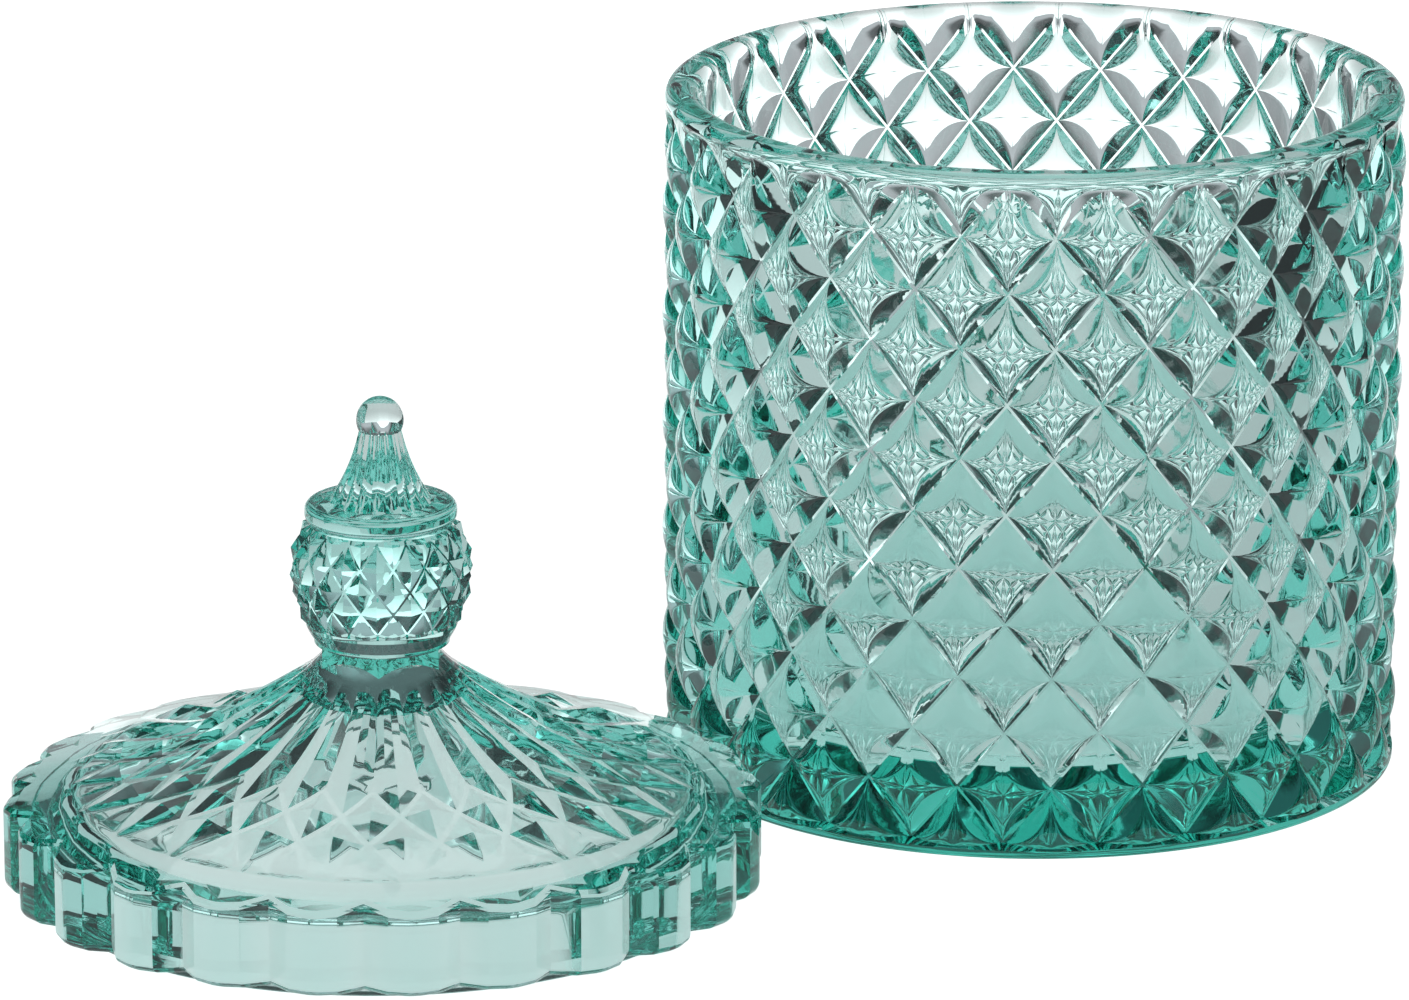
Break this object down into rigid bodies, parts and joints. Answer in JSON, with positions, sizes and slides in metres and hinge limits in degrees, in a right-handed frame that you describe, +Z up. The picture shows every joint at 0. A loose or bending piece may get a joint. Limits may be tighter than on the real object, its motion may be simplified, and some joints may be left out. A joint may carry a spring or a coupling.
{
  "type": "powder jar",
  "caption": "Round pressed-glass powder jar with diamond-cut walls, and a loose scalloped lid with a ball knob, for powder, cotton or small things.",
  "frame": {"origin": "centre of the jar's flat foot, on the surface that both pieces stand on", "axes": "+Z up along the jar's axis, +Y away from the viewer, +X to the viewer's right; the lid lies to the left and in front"},
  "size_m": [0.1853, 0.1595, 0.093],
  "materials": {
    "jar_glass": "clear teal-green pressed glass, fire-polished",
    "lid_glass": "clear teal-green pressed glass, fire-polished"
  },
  "bodies": {
    "jar": {"jar": "jar_glass"},
    "lid": {"lid": "lid_glass"}
  },
  "joints": [
    {"name": "lid_lift", "type": "slide", "parent": "jar", "child": "lid", "axis": [0, 0, 1], "range_m": [0, 0.12]}
  ]
}
